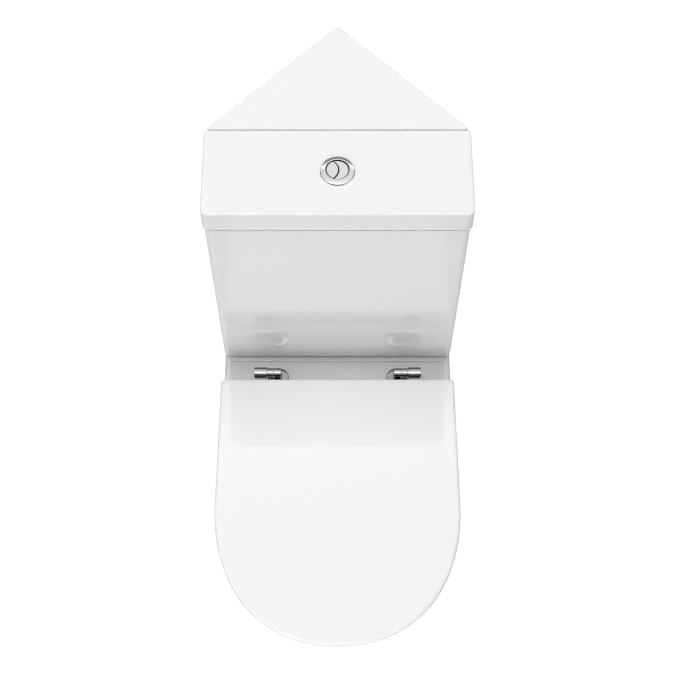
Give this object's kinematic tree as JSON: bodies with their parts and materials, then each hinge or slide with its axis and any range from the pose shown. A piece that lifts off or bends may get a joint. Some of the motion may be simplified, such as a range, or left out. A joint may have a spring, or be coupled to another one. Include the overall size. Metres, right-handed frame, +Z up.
{
  "type": "corner toilet",
  "caption": "Close-coupled corner toilet with a five-sided cistern, a dual-flush button, a D-shaped pan and a hinged seat and lid.",
  "frame": {"origin": "centre of the whole part's bounding box, on the floor", "axes": "+Z up, -Y towards the user and the seat's nose, +Y towards the room's corner, +X to the right as seen from the front"},
  "size_m": [0.37, 0.8014, 0.813],
  "materials": {
    "vitreous_china": "gloss glaze",
    "seat_plastic": "gloss",
    "chrome": "polished",
    "steel": "satin",
    "rubber": "matte",
    "bumper": "matte, translucent grey",
    "white_plastic": "gloss",
    "valve_plastic": "satin",
    "rocker_plastic": "satin"
  },
  "bodies": {
    "pan_and_cistern": {"pan_deck": "vitreous_china", "pan_bowl": "vitreous_china", "pan_skirt": "vitreous_china", "floor_brackets": "steel", "side_screws": "steel", "screw_caps": "white_plastic", "rest_pads": "rubber", "flush_gasket": "rubber", "cistern_bolts": "steel", "bolt_seals": "rubber", "bolt_washers": "steel", "cistern_wing_nuts": "valve_plastic", "cistern": "vitreous_china", "corner_cover": "vitreous_china", "valve_washer": "rubber", "valve_base": "valve_plastic", "valve_backnut": "valve_plastic", "valve_tower": "valve_plastic", "rocker_pin": "steel", "fill_valve": "valve_plastic", "fill_washer": "rubber", "fill_backnut": "valve_plastic", "float_arm_pin": "steel", "hinge_posts": "chrome", "hinge_studs": "steel", "hinge_bushes": "rubber", "hinge_wing_nuts": "valve_plastic"},
    "cistern_lid": {"cistern_lid": "vitreous_china", "button_bezel": "chrome", "bezel_locknut": "valve_plastic", "half_button_spring": "steel", "full_button_spring": "steel"},
    "half_button": {"half_button": "chrome", "half_push_rod": "valve_plastic"},
    "full_button": {"full_button": "chrome", "full_push_rod": "valve_plastic"},
    "flush_rocker": {"flush_rocker": "rocker_plastic"},
    "valve_core": {"valve_core": "valve_plastic", "core_seal": "rubber"},
    "float": {"float": "valve_plastic"},
    "float_arm": {"float_arm": "valve_plastic"},
    "seat_ring": {"seat_ring": "seat_plastic", "ring_bumpers": "bumper", "ring_knuckles": "chrome", "knuckle_screws": "steel", "hinge_pins": "steel"},
    "seat_lid": {"seat_lid": "seat_plastic", "lid_bumpers": "bumper", "lid_barrels": "chrome", "barrel_screws": "steel"}
  },
  "joints": [
    {"name": "seat_ring_hinge", "type": "hinge", "parent": "pan_and_cistern", "child": "seat_ring", "pos_m": [0, 0.04309, 0.418], "axis": [-1, 0, 0], "range_deg": [0, 90]},
    {"name": "seat_lid_hinge", "type": "hinge", "parent": "seat_ring", "child": "seat_lid", "pos_m": [0, 0.04309, 0.418], "axis": [1, 0, 0], "range_deg": [-90, 0]},
    {"name": "cistern_lid_lift", "type": "slide", "parent": "pan_and_cistern", "child": "cistern_lid", "axis": [0, 0, 1], "range_m": [0, 0.15]},
    {"name": "half_flush_press", "type": "slide", "parent": "cistern_lid", "child": "half_button", "axis": [0, 0, -1], "range_m": [0, 0.005], "stiffness_N_per_m": 600, "springref_m": -0.002, "deforming": ["half_button_spring"]},
    {"name": "full_flush_press", "type": "slide", "parent": "cistern_lid", "child": "full_button", "axis": [0, 0, -1], "range_m": [0, 0.005], "stiffness_N_per_m": 600, "springref_m": -0.002, "deforming": ["full_button_spring"]},
    {"name": "flush_rocker_turn", "type": "hinge", "parent": "pan_and_cistern", "child": "flush_rocker", "pos_m": [0.0195, 0.14694, 0.662], "axis": [0, -1, 0], "range_deg": [0, 34.5]},
    {"name": "valve_core_lift", "type": "slide", "parent": "pan_and_cistern", "child": "valve_core", "axis": [0, 0, 1], "range_m": [0, 0.0112]},
    {"name": "float_fall", "type": "slide", "parent": "pan_and_cistern", "child": "float", "axis": [0, 0, -1], "range_m": [0, 0.02]},
    {"name": "float_arm_turn", "type": "hinge", "parent": "pan_and_cistern", "child": "float_arm", "pos_m": [-0.02, 0.29839, 0.705], "axis": [0, -1, 0], "range_deg": [0, 38.5]}
  ],
  "couplings": [
    {"joint": "flush_rocker_turn", "follows": "full_flush_press", "rad_per_m": 118.68},
    {"joint": "valve_core_lift", "follows": "full_flush_press", "ratio": 2.2},
    {"joint": "float_arm_turn", "follows": "float_fall", "rad_per_m": 33.161}
  ]
}
